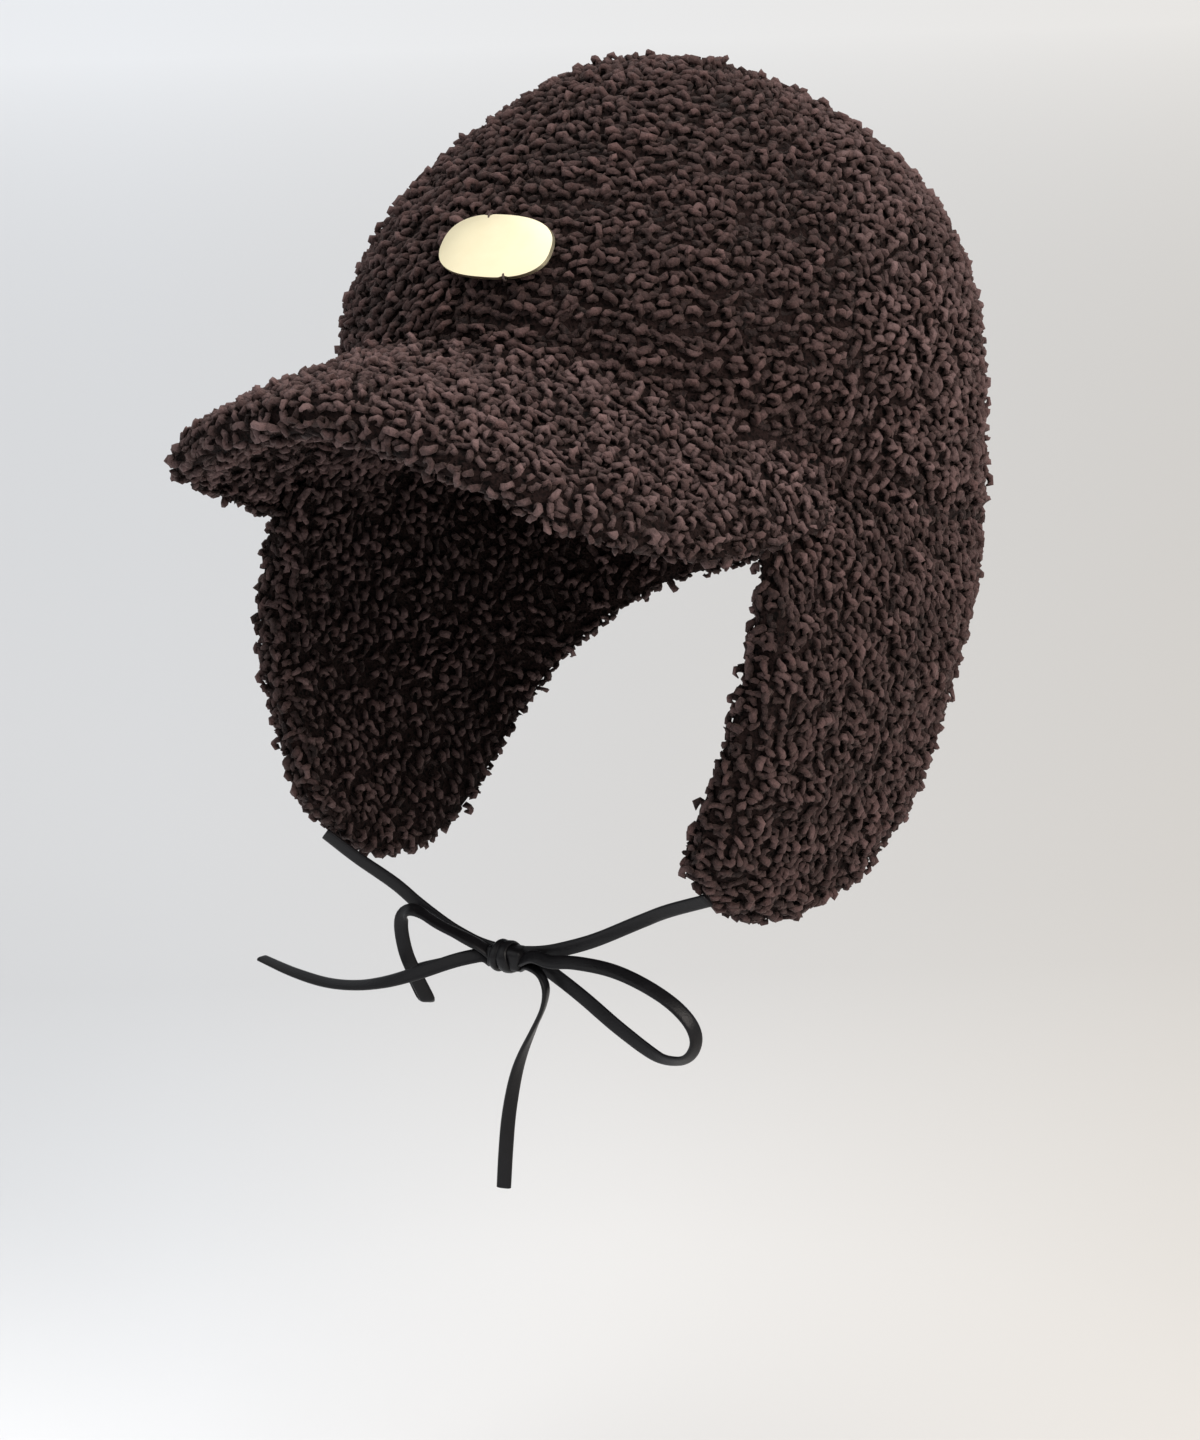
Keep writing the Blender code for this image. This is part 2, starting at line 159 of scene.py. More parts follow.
# points in mm
ROUTES = {
    "tie_left": (
        (64.0, -85.5, -120.5), (49.3, -82.4, -126.7), (38.7, -80.2, -132.1), (23.4, -79.6, -140.0),
        (12.0, -80.2, -144.5), (5.6, -80.8, -146.3), (0.3, -81.0, -147.2),
    ),
    "tie_right": (
        (-64.0, -85.5, -120.5), (-56.0, -82.2, -127.2), (-45.0, -79.6, -134.0), (-37.0, -79.0, -139.2),
        (-27.0, -79.2, -144.2), (-19.0, -79.6, -146.8), (-14.6, -80.0, -147.6), (-10.3, -80.6, -147.8),
    ),
    "bow_loop_left": (
        (0.3, -82.6, -148.8), (5.9, -84.2, -146.3), (12.0, -85.2, -146.5), (20.6, -85.6, -145.2),
        (31.8, -85.2, -145.5), (41.6, -84.6, -148.0), (50.3, -83.8, -152.2), (55.6, -83.0, -157.2),
        (56.8, -82.0, -162.5), (53.9, -80.8, -167.8), (48.7, -79.8, -170.5), (41.4, -79.0, -170.4),
        (29.7, -78.4, -165.1), (18.7, -78.8, -158.1), (11.1, -79.6, -153.3), (6.3, -80.6, -150.3),
        (2.2, -81.0, -149.1), (0.3, -80.0, -149.7),
    ),
    "bow_loop_right": (
        (-10.3, -82.4, -148.4), (-12.3, -83.4, -146.7), (-15.6, -84.4, -144.8), (-24.9, -85.6, -141.6),
        (-32.4, -86.0, -138.5), (-37.3, -85.2, -139.8), (-40.0, -83.8, -144.8), (-40.5, -81.6, -153.4),
        (-38.7, -79.8, -160.9), (-37.2, -78.4, -165.9), (-36.9, -77.2, -168.6), (-39.4, -75.6, -168.4),
        (-42.6, -74.8, -164.3), (-43.0, -75.6, -162.0), (-37.9, -77.0, -159.2), (-27.6, -78.2, -155.0),
        (-18.1, -79.0, -150.8), (-13.9, -79.4, -149.4), (-10.3, -79.6, -148.8),
    ),
    "tie_end_right": (
        (-10.3, -81.2, -151.0), (-12.3, -82.6, -149.3), (-15.9, -84.4, -149.9), (-21.4, -86.4, -151.7),
        (-32.7, -88.0, -156.6), (-43.3, -88.4, -160.7), (-54.5, -88.0, -163.7), (-66.2, -87.0, -165.1),
        (-78.9, -85.8, -164.5), (-91.2, -84.6, -162.7),
    ),
    "tie_end_left": (
        (0.3, -81.0, -151.2), (3.9, -83.0, -150.0), (8.2, -84.4, -151.4), (10.2, -85.2, -154.9),
        (9.1, -85.4, -160.3), (5.3, -85.2, -167.5), (0.6, -84.4, -176.1), (-3.0, -83.4, -184.5),
        (-6.2, -82.6, -195.9), (-8.1, -82.2, -207.0), (-9.4, -82.2, -218.6),
    ),
}

# %% [markdown]
# Each strip also needs to know which way its flat face looks. The lists below give that face at a few shares
# of the strip's length, as a mix of the directions towards the camera, to the right and up. An end that
# hangs down starts on edge and opens out flat near its tip, as leather does when it leaves a knot.

# %% Which way each strip faces
FACES = {
    # share of the length, towards the camera, right, up
    "tie_left": ((0, 0.9, 0, -0.35), (0.6, 1, 0, -0.3), (1, 1, 0, 0)),
    "tie_right": ((0, 0.7, -0.5, -0.3), (0.6, 0.9, -0.2, -0.3), (1, 1, 0, 0)),
    "bow_loop_left": (
        (0, 0.8, 0, 0.6), (0.22, 0.85, 0.1, 0.55), (0.38, 0.75, 0.35, 0.45), (0.5, 0.75, 0.6, -0.15),
        (0.62, 0.85, 0.2, -0.5), (0.8, 0.95, 0, -0.3), (1, 0.9, 0, -0.4),
    ),
    "bow_loop_right": (
        (0, 0.5, 0, 0.85), (0.2, 0.2, -0.1, 1), (0.26, 0.5, -0.6, 0.6), (0.31, 1, -0.2, 0),
        (0.55, 1, 0.1, -0.1), (0.582, 0, 0, -1), (0.615, -1, -0.1, 0.1), (0.7, -0.9, 0, 0.3),
        (1, -0.3, 0, 0.95),
    ),
    "tie_end_right": (
        (0, 0.9, 0, 0.4), (0.3, 0.85, 0, 0.5), (0.55, 0.6, 0, 0.8), (0.8, 0.4, 0, 0.9),
        (1, 0.1, 0, 1),
    ),
    "tie_end_left": (
        (0, 0.5, -0.3, 0.8), (0.12, 0.3, 0.7, 0.5), (0.3, 0.3, 0.9, 0), (0.5, 0.75, 0.65, 0),
        (0.75, 0.95, 0.2, 0), (1, 1, -0.1, 0),
    ),
}


def smooth_route(points, step):
    """Evenly spaced points on a smooth curve through the given ones."""
    points = [Vector(p) for p in np.array(points) * MM]
    ends = [points[0] * 2 - points[1], *points, points[-1] * 2 - points[-2]]
    fine = []
    for before, here, there, after in zip(ends, ends[1:], ends[2:], ends[3:]):
        for k in range(24):
            t = k / 24
            bend = before * 2 - here * 5 + there * 4 - after
            twist = here * 3 - before - there * 3 + after
            fine.append((here * 2 + (there - before) * t + bend * t * t + twist * t * t * t) * 0.5)
    fine = np.array([*fine, points[-1]])
    run = np.concatenate([[0], np.cumsum(np.linalg.norm(np.diff(fine, axis=0), axis=1))])
    count = max(round(run[-1] / step), 3)
    even = np.linspace(0, run[-1], count + 1)
    return np.stack([np.interp(even, run, fine[:, axis]) for axis in range(3)], axis=1), run[-1]


def facing(name, shares):
    """The direction of a strip's flat face at shares of its length."""
    table = np.array(FACES[name], dtype=float)
    mix = np.stack([np.interp(shares, table[:, 0], table[:, k]) for k in (1, 2, 3)], axis=1)
    return mix @ np.array([TOWARDS, RIGHT, UP])


# %% [markdown]
# The section is a flat oval with full edges, like a folded and pressed strip. The ends of the loose strips
# are cut square, so the last two sections sit close together and the very last is a touch smaller, which
# rounds the cut.

# %% Build a strip along its route
SECTION, STEP = 14, 1.1 * MM
CUT, CUT_SIZE = 0.15 * MM, 0.86


def strip(name):
    """A flat strip along its route, turned as its list says, with its points and its length."""
    points, length = smooth_route(ROUTES[name], STEP)
    shares = np.linspace(0, 1, len(points))
    along = np.gradient(points, axis=0)
    along /= np.linalg.norm(along, axis=1, keepdims=True)
    face = facing(name, shares)
    face -= along * np.sum(face * along, axis=1, keepdims=True)
    face /= np.linalg.norm(face, axis=1, keepdims=True)
    across = np.cross(along, face)
    angles = np.linspace(0, 2 * math.pi, SECTION, endpoint=False)
    wide = np.sign(np.cos(angles)) * np.abs(np.cos(angles)) ** 0.55 * STRIP_WIDTH / 2
    thick = np.sign(np.sin(angles)) * np.abs(np.sin(angles)) ** 0.75 * STRIP_THICK / 2
    last = len(points) - 1
    rings = [(0, -CUT, CUT_SIZE), *((k, 0, 1) for k in range(last + 1)), (last, CUT, CUT_SIZE)]
    bm = bmesh.new()
    layer = bm.loops.layers.uv.new("strip")
    loops = []
    for k, shift, size in rings:
        centre = points[k] + along[k] * shift
        ring = centre + size * (np.outer(wide, across[k]) + np.outer(thick, face[k]))
        loops.append([bm.verts.new(p) for p in ring])
    for i, (first, second) in enumerate(zip(loops, loops[1:])):
        for j in range(SECTION):
            n = (j + 1) % SECTION
            quad = bm.faces.new((first[j], first[n], second[n], second[j]))
            for corner, (u, v) in zip(quad.loops, ((i, j), (i, j + 1), (i + 1, j + 1), (i + 1, j))):
                corner[layer].uv = (u / len(rings), v / SECTION)
    for ring in (loops[0][::-1], loops[-1]):
        bm.faces.new(ring)
    bmesh.ops.recalc_face_normals(bm, faces=bm.faces)
    mesh = bpy.data.meshes.new(name)
    bm.to_mesh(mesh)
    bm.free()
    mesh.shade_smooth()
    return linked(name + "_strip", mesh), points, length


strips = {name: strip(name) for name in ROUTES}
for name, (thing, points, length) in strips.items():
    print(name, round(length / MM), "mm,", len(thing.data.polygons), "faces")

# %% [markdown]
# ## The knot
# The knot is the same strip pulled tight round the others: a small firm lump with two turns of strip across
# it. It starts as a cube, which is bevelled and subdivided to a pillow. Each turn is an oval ring, made
# flat.

# %% Model the knot
KNOT_SIZE = (12.5 * MM, 7.2 * MM, 6.8 * MM)


def knot_lump():
    bpy.ops.mesh.primitive_cube_add(size=1, location=KNOT, scale=KNOT_SIZE)
    lump = bpy.context.object
    settle(lump, "knot_lump")
    edit(lump, "EDGE")
    bpy.ops.mesh.bevel(offset=2 * MM, segments=3, affect="EDGES")
    edit(lump)
    pick(lump, lambda place: abs(place.x - KNOT.x) > 5.6 * MM)
    bpy.ops.transform.resize(value=(1, 0.86, 0.86), center_override=KNOT)
    subdivide(lump)
    return lump


def knot_turn(shift, tilt, size):
    """One turn of strip round the knot."""
    bpy.ops.mesh.primitive_torus_add(
        major_segments=28, minor_segments=10, major_radius=3.8 * MM, minor_radius=0.75 * MM, location=KNOT
    )
    turn = bpy.context.object
    edit(turn)
    bpy.ops.transform.resize(value=(1, 1.06, 2.5), center_override=KNOT)
    bpy.ops.transform.rotate(value=math.radians(90), orient_axis="Y", center_override=KNOT)
    bpy.ops.transform.rotate(value=tilt, orient_axis="Y", center_override=KNOT)
    bpy.ops.transform.resize(value=(size, 1, 1.02), center_override=KNOT)
    bpy.ops.transform.translate(value=(shift, 0, 0))
    return settle(turn, "knot_turn")


knot = knot_lump()
turns = [knot_turn(0.4 * MM, math.radians(14), 1.0), knot_turn(-2.6 * MM, math.radians(-12), 0.7)]
only(knot, *turns)
bpy.ops.object.join()
settle(knot, "bow_knot_turns")
bpy.ops.object.shade_smooth()
print("knot:", len(knot.data.polygons), "faces")

# %% [markdown]
# Each strip is a free cord with a real length. Its width counts as its diameter, because it is flat. The
# loops and ties run into the knot, and the two loose ends are cut. The new strips and the knot take the
# place of the measured ones, which are hidden.

# %% Hide the measured cords and attach the new ones
for name, (thing, points, length) in strips.items():
    into_knot = not name.startswith("tie_end")
    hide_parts(name)
    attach(thing, "root")
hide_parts("bow_knot")
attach(knot, "root")

# %% [markdown]
# ## One curl of yarn
# A curl is a short length of yarn bent over until both ends are back in the knit. Three kinds are enough,
# because each copy is turned, tilted, stretched and tinted by chance. A curve with a bevel would work, but
# it gives many faces. There will be thousands of curls, so each must stay at a few dozen faces: a five sided
# ring is spun round an axis, and its ends are drawn in.

# %% Model the three kinds of curl
YARN, SPIN, STEP_ANGLE, POINTED = 0.96 * MM, 1.5 * MM, 56, 0.2


def towards(degrees):
    """A direction in the X and Z plane."""
    angle = math.radians(degrees)
    return Vector((math.cos(angle), 0, math.sin(angle)))


def spun_curl(name, sweeps, yarn=YARN, spin=SPIN):
    """A yarn bent in the X and Z plane from a foot at Z 0. Each sweep is an angle and a side to bend to."""
    bpy.ops.mesh.primitive_circle_add(vertices=5, radius=yarn, location=(0, 0, 0))
    curl = bpy.context.object
    edit(curl)
    middle = Vector((0, 0, 0))
    heading = 90.0
    for angle, side in sweeps:
        hub = middle + towards(heading - 90 * side) * spin
        bpy.ops.mesh.spin(
            steps=max(round(angle / STEP_ANGLE), 2), angle=-math.radians(angle) * side, center=hub,
            axis=(0, 1, 0),
        )
        heading -= angle * side
        middle = hub + towards(heading + 90 * side) * spin
    bpy.ops.mesh.select_all(action="SELECT")
    bpy.ops.mesh.remove_doubles(threshold=0.01 * MM)
    for end in (Vector((0, 0, 0)), middle):
        pick(curl, lambda place: (place - end).length < yarn * 1.04)
        bpy.ops.transform.resize(value=(POINTED, POINTED, POINTED), center_override=end)
    bpy.ops.mesh.select_all(action="DESELECT")
    bpy.ops.mesh.select_non_manifold()
    bpy.ops.mesh.edge_face_add()
    only(curl)
    low, high = Vector(curl.bound_box[0]), Vector(curl.bound_box[6])
    curl.location = (-(low.x + high.x) / 2, 0, -low.z - 0.5 * MM)
    return settle(curl, name)


curls = [
    spun_curl("curl_hoop", [(200, 1)]),
    spun_curl("curl_ring", [(285, 1)], yarn=0.85 * MM, spin=1.4 * MM),
    spun_curl("curl_wave", [(120, 1), (120, -1)], yarn=0.92 * MM, spin=1.25 * MM),
]
for curl in curls:
    size = [round(c / MM, 1) for c in curl.dimensions]
    print(curl.name, "size in mm", size, "faces", len(curl.data.polygons), "verts", len(curl.data.vertices))


# %% [markdown]
# ## Cloth bodies
# Under the pile is the knitted backing, stretched over padding. Its form is already measured: each panel,
# the brim and each flap has its own solid. A copy of that solid is the surest start, because it is where it
# should be. The copy comes as loose triangles, so its points are merged and its triangles paired to quads.
# Its hard edges are creased, and then a subdivision surface rounds all the rest. The seams between pieces
# stay where they are.

# %% Copy a measured solid and smooth it


def cloth_copy(node, name):
    """A merged, creased and subdivided copy of a measured solid."""
    body = linked(name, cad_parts[node].data.copy())
    body.data.materials.clear()
    only(body)
    bpy.ops.mesh.customdata_custom_splitnormals_clear()
    edit(body)
    bpy.ops.mesh.remove_doubles(threshold=0.01 * MM)
    bpy.ops.mesh.tris_convert_to_quads(face_threshold=math.radians(60), shape_threshold=math.radians(60))
    bpy.ops.mesh.normals_make_consistent(inside=False)
    edit(body, "EDGE", everything=False)
    bpy.ops.mesh.edges_select_sharp(sharpness=math.radians(48))
    bpy.ops.transform.edge_crease(value=1)
    subdivide(body)
    bpy.ops.object.shade_smooth()
    return body


def corners(thing):
    """The points and normals of an object's vertices."""
    count = len(thing.data.vertices)
    points, normals = np.zeros(count * 3), np.zeros(count * 3)
    thing.data.vertices.foreach_get("co", points)
    thing.data.vertices.foreach_get("normal", normals)
    return points.reshape(-1, 3), normals.reshape(-1, 3)


def move_corners(thing, points):
    thing.data.vertices.foreach_set("co", points.ravel())
    thing.data.update()


# %% [markdown]
# The measured solids reach to the tips of the pile. The backing lies deeper, so its outer side moves in. On
# the crown only the outer face moves, and it moves towards the middle of the head, which keeps the seams
# shut. The brim and flaps have pile on both faces, so they shrink all round, but not where they are sewn to
# the crown.

# %% Move the backing in by the depth of the pile
HALF_WIDTH, HALF_DEPTH, DOME_HEIGHT, MEAN_HALF = 0.087, 0.107, 0.093, 0.095
PILE_DEPTH = 3.3 * MM


def shoulder_ease(height):
    """The crown's size at a share of its height. Its shoulders slope a little more than a true dome's."""
    share = np.clip((height - 0.35) / 0.65, 0, 1)
    return 1 - 0.038 * np.sin(math.pi * share * share)


def crown_reach(points):
    """How far out a point is on the crown's form: 1 on the pile's tips and 0.91 on the inner face."""
    height = np.maximum(points[:, 2], 0) / DOME_HEIGHT
    reach = np.sqrt((points[:, 0] / HALF_WIDTH) ** 2 + (points[:, 1] / HALF_DEPTH) ** 2 + height**2)
    return reach / shoulder_ease(height)


def sink_crown(body):
    points, _ = corners(body)
    outer = np.clip((crown_reach(points) - 0.925) / 0.06, 0, 1)[:, None]
    share = PILE_DEPTH / MEAN_HALF * outer
    scale = 1 - share * np.array([1, 1, 0]) - share * np.array([0, 0, 1]) * (points[:, 2:] > 0)
    move_corners(body, points * scale)


def sink_padded(body, sewn):
    """Moves every point in along its normal, apart from those for which sewn says 1."""
    points, normals = corners(body)
    step = -PILE_DEPTH * normals * (1 - sewn(points, normals))[:, None]
    step[np.abs(points[:, 0]) < 1.5 * MM, 0] = 0
    move_corners(body, points + step)


def brim_sewn(points, normals=None):
    return np.clip(1 - (crown_reach(points) - 1.01) / 0.05, 0, 1)


def flap_sewn(points, normals):
    return np.clip((normals[:, 2] - 0.3) / 0.3, 0, 1)


# %% [markdown]
# Where the flap is sewn under the crown, the thread pulls the cloth in and the crown's edge bulges over it.
# The seam starts high at the brim's corner and drops to the crown's rim behind the temple. Pressing both
# bodies in with the same rule keeps them shut. Walls that meet reach a little into each other, so no light
# comes through. The brim isn't even either. On the wearer's right its corner is pushed in and up, and it
# hangs lower beside the temple. A few shifts at places along its side, with smooth steps between them, are
# enough for that.

# %% Press the seam in and bend the brim's right corner
SEAM_TURNS = (50, 60, 70, 80, 88, 90, 100, 110, 120, 130, 140, 150, 160, 170, 180)
SEAM_HEIGHTS = (-4, -6, -11.5, -19, -28, -30, -34, -38, -42, -46, -49.5, -52.5, -55, -56.5, -57)
OVERLAP, APEX = 0.6 * MM, np.array([0, 0.389, 0.921])


def squeeze(body, size):
    """Moves each point nearer to the cap's upright axis, by its own share."""
    points, _ = corners(body)
    points[:, :2] *= size[:, None]
    move_corners(body, points)


def seam_groove(points):
    """1 on the seam between the crown and the flap, and next to 0 from 4 mm off it."""
    turn = np.degrees(np.arctan2(np.abs(points[:, 0]), -points[:, 1]))
    off = points[:, 2] / MM - np.interp(turn, SEAM_TURNS, SEAM_HEIGHTS)
    return np.exp(-((off / 2.1) ** 2)) * np.clip((turn - 50) / 12, 0, 1)


def close_middle(body):
    """Lets the wall in the cap's middle plane reach into the other half."""
    points, _ = corners(body)
    side = np.sign(points[:, 0].sum())
    points[np.abs(points[:, 0]) < 0.2 * MM, 0] = -OVERLAP * side
    move_corners(body, points)


def close_top(body):
    """Draws the panels' tips past each other at the apex, where the solids leave a small ring."""
    points, _ = corners(body)
    aside = points - np.outer(points @ APEX, APEX)
    tip = np.linalg.norm(aside, axis=1) < 3 * MM
    points[tip] -= 1.6 * aside[tip]
    move_corners(body, points)


def tuck_in(body):
    """Pushes the brim's sewn wall into the crown's body, which lies deeper than the measured surface."""
    squeeze(body, 1 - 0.05 * brim_sewn(corners(body)[0]))


def press_seam(body):
    """Presses the outer face in along the seam."""
    points, _ = corners(body)
    outer = np.clip((crown_reach(points) - 0.93) / 0.03, 0, 1)
    squeeze(body, 1 - 0.032 * seam_groove(points) * outer)


def bend_corner(body):
    """Moves the brim's right side by shifts in mm at distances in front of the cap's middle."""
    points, _ = corners(body)
    ahead = -points[:, 1] / MM
    inwards = np.interp(ahead, (78, 88, 98, 126, 143), (0, 1.5, 3.0, 4.5, 5.0))
    lift = np.interp(ahead, (58, 68, 78, 88, 98, 110, 126), (0, -5.0, -7.0, -4.6, 0, 3.4, 4.5))
    share = np.clip((-points[:, 0] / MM - 54) / 16, 0, 1)
    share = (share * share * (3 - 2 * share))[:, None] * MM
    move_corners(body, points + share * (np.outer(inwards, RIGHT) + np.outer(lift, (0, 0, 1))))


CROWN = ("crown_front_left", "crown_front_right", "crown_back_left", "crown_back_right")
FLAPS = ("earflap_left", "earflap_right")
bodies = {node: cloth_copy(node, node + "_cloth") for node in (*CROWN, "brim", *FLAPS)}
for node in CROWN:
    sink_crown(bodies[node])
    press_seam(bodies[node])
    close_middle(bodies[node])
sink_padded(bodies["brim"], brim_sewn)
bend_corner(bodies["brim"])
tuck_in(bodies["brim"])
for node in FLAPS:
    sink_padded(bodies[node], flap_sewn)
    press_seam(bodies[node])
    close_middle(bodies[node])
for node, body in bodies.items():
    print(body.name, len(body.data.polygons), "faces")

# %% [markdown]
# ## Where the curls stand
# On the real cloth the curls crowd together, yet never stand inside each other. Points picked purely by
# chance would clump and leave bald spots. So points are tried by chance and kept only where no kept point is
# too near. Chance here is seeded, which gives the same cap at each run.

# %% Spread points over a surface


def surface_tries(body, keep, count, rng):
    """Points and smooth normals picked by chance over the faces for which keep is true."""
    mesh = body.data
    mesh.calc_loop_triangles()
    corner_index = np.zeros(len(mesh.loop_triangles) * 3, dtype=int)
    mesh.loop_triangles.foreach_get("vertices", corner_index)
    corner_index = corner_index.reshape(-1, 3)
    points, normals = corners(body)
    a, b, c = (points[corner_index[:, k]] for k in range(3))
    flat = np.cross(b - a, c - a)
    area = np.linalg.norm(flat, axis=1)
    flat /= np.maximum(area, 1e-12)[:, None]
    area *= keep((a + b + c) / 3, flat)
    picked = rng.choice(len(area), size=count, p=area / area.sum())
    u, v = rng.random(count), rng.random(count)
    over = u + v > 1
    u[over], v[over] = 1 - u[over], 1 - v[over]
    weights = np.stack([1 - u - v, u, v], axis=1)[:, :, None]
    place = (points[corner_index[picked]] * weights).sum(axis=1)
    normal = (normals[corner_index[picked]] * weights).sum(axis=1)
    normal = normal / np.linalg.norm(normal, axis=1, keepdims=True) + flat[picked] * 0.5
    return place, normal / np.linalg.norm(normal, axis=1, keepdims=True), area.sum() / 2


def spread(body, keep, apart, seed):
    """Points no nearer to each other than apart, with their normals."""
    rng = np.random.default_rng(seed)
    _, _, area = surface_tries(body, keep, 10, rng)
    places, normals, _ = surface_tries(body, keep, int(area / apart**2 * 6), rng)
    cells, kept = {}, []
    for i, (place, cell) in enumerate(zip(places, np.floor(places / apart).astype(int))):
        near = (
            (cell[0] + x, cell[1] + y, cell[2] + z)
            for x in (-1, 0, 1) for y in (-1, 0, 1) for z in (-1, 0, 1)
        )
        if all(np.sum((places[j] - place) ** 2) > apart**2 for key in near for j in cells.get(key, ())):
            cells.setdefault(tuple(cell), []).append(i)
            kept.append(i)
    print(body.name, "area", round(area * 1e6), "mm2,", len(kept), "curls")
    return places[kept], normals[kept], rng


# %% [markdown]
# ## Which way the curls lie
# The curls of the front panels lie in loose rows with dark valleys between them: level rows on the wearer's
# left, and steep ones on the right. Just under the crown's rim the flap's curls hang down, pulled by the
# seam. Further down, and on the brim and the back, they point every way. A pull towards the middle of each
# row packs the curls into ridges, and lowers those left in the valleys.

# %% Rules for direction and depth
ROW = 5.4 * MM


def wander(points, size, seed):
    """Smooth noise from -1 to 1 at each point."""
    shift = Vector((seed * 7.1, seed * 3.7, seed * 5.3))
    return np.array([noise.noise(Vector(p) / size + shift) for p in points])


def tangent(normals, wish):
    """The part of a wished direction that lies in the surface."""
    flat = wish - normals * np.sum(wish * normals, axis=1, keepdims=True)
    return flat / np.maximum(np.linalg.norm(flat, axis=1, keepdims=True), 1e-6)


def level(normals):
    """Along the surface and level."""
    return tangent(normals, np.stack([-normals[:, 1], normals[:, 0], normals[:, 0] * 0], axis=1))


def steep(normals):
    """Along the surface and up."""
    return tangent(normals, np.tile([0.02, 0.01, 1.0], (len(normals), 1)))


def rows_across(points, normals, slant, strength):
    """Points moved towards the ridges of slanting rows, how deep each lies, and the way along the rows."""
    up, side = steep(normals), level(normals)
    lean = points @ np.array([slant, slant * 0.4, 1.0])
    lean = lean + wander(points, 22 * MM, 4) * 4.5 * MM + wander(points, 9 * MM, 9) * 1.6 * MM
    phase = lean / ROW * 2 * math.pi
    moved = points - up * (np.sin(phase) * ROW * 0.06 * strength)[:, None]
    wide = np.clip(np.sin(phase / 2.4 + wander(points, 30 * MM, 12) * 3) * 2 - 1, 0, 1)
    return moved, ((1 - np.cos(phase)) * 0.42 + wide * 0.6) * strength, side


# %% [markdown]
# ## Plant the curls
# Each curl gets its own small frame: along the chosen direction, across it, and out from the cloth. Copying
# thousands of objects would choke Blender, so the copies' points are worked out together in one array and
# become one mesh. Two numbers ride along on every point: the curl's shade, which is its own chance tint
# scaled by its piece's painted light and shade, and how high above the backing the point is. The material
# reads them later, and paints shade at each curl's foot from the height.

# %% Turn places into one mesh of curls


def curl_parts(curl):
    points, _ = corners(curl)
    return points, [tuple(face.vertices) for face in curl.data.polygons]


KINDS = [curl_parts(curl) for curl in curls]
KIND_SHARES, KIND_LEANS = (0.42, 0.33, 0.25), np.array([52, 84, 56])
CRUMPLE = 0.2 * MM


def plant(name, places, normals, along, rng, painted_tone, size, sunk, loose):
    """One mesh of curls at the places. How light its yarn may be, for all or for each, is painted light and
    shade.

    Sunk is how deep each foot goes, and loose is how many degrees a curl strays from its direction.
    """
    count = len(places)
    yaw = np.radians(rng.normal(0, loose, count))
    side = np.cross(normals, along)
    heading = along * np.cos(yaw)[:, None] + side * np.sin(yaw)[:, None]
    side = np.cross(normals, heading)
    kind = rng.choice(len(KINDS), count, p=KIND_SHARES)
    lean = np.radians(rng.uniform(-1, 1, count) * KIND_LEANS[kind])
    out = normals * np.cos(lean)[:, None] + side * np.sin(lean)[:, None]
    side = side * np.cos(lean)[:, None] - normals * np.sin(lean)[:, None]
    stretch = size * rng.uniform(0.82, 1.22, (count, 3)) * rng.uniform(0.88, 1.12, (count, 1))
    lift = rng.uniform(-0.1, 1.05, count) * MM - sunk
    base = places + normals * lift[:, None]
    # Each curl's shade: its own chance tint, scaled by painted light and shade for its piece.
    shade = rng.random(count) * painted_tone
    all_points, all_faces, all_shades, all_heights, start = [], [], [], [], 0
    for k, (points, faces) in enumerate(KINDS):
        mine = np.nonzero(kind == k)[0]
        local = points[None, :, :] * stretch[mine][:, None, :]
        world = (
            base[mine][:, None, :]
            + local[:, :, :1] * heading[mine][:, None, :]
            + local[:, :, 1:2] * side[mine][:, None, :]
            + local[:, :, 2:] * out[mine][:, None, :]
            + rng.normal(0, CRUMPLE, local.shape)
        )
        rise = np.sum((world - places[mine][:, None, :]) * normals[mine][:, None, :], axis=2)
        all_points.append(world.reshape(-1, 3))
        all_heights.append(rise.ravel() / MM)
        all_shades.append(np.repeat(shade[mine], len(points)))
        for number in range(len(mine)):
            offset = start + number * len(points)
            all_faces += [tuple(v + offset for v in face) for face in faces]
        start += len(mine) * len(points)
    mesh = bpy.data.meshes.new(name)
    mesh.from_pydata(np.concatenate(all_points), [], all_faces)
    for label, values in (("shade", all_shades), ("height", all_heights)):
        mesh.attributes.new(label, "FLOAT", "POINT").data.foreach_set("value", np.concatenate(values))
    mesh.shade_smooth()
    return linked(name, mesh)


# %% Plant the crown
# How far apart the feet stand on the front panels, on the sides of brim and flaps that are seen, on the back
# panels and on the hidden sides.
CLOSE, TIGHT, FINE, THIN = 2.08 * MM, 2.2 * MM, 2.28 * MM, 3.0 * MM
SIDE_SEAM, SEAM_EASE, SEAM_RADIUS = math.radians(71), 4 * MM, 90 * MM
# Painted light and shade: the front panels stand in the lamp's full light, so their yarn is painted darker,
# and the back panels' yarn is painted lighter.
FRONT_PAINTED_TONE, BACK_PAINTED_TONE, DEEPEST = 0.62, 1.7, 1.4


def crown_outside(places, flat):
    """1 on the crown's outer face, away from its inner face and its seam walls."""
    outwards = places / np.linalg.norm(places, axis=1, keepdims=True)
    return (np.sum(flat * outwards, axis=1) > 0.55).astype(float)


def seam_slope(places):
    """1 beside the seams, where the pile sinks, and 0 elsewhere."""
    turn = np.arctan2(places[:, 0], -places[:, 1])
    near = np.minimum(np.abs(turn), np.abs(np.abs(turn) - SIDE_SEAM))
    return np.exp(-((near * SEAM_RADIUS / SEAM_EASE) ** 2))


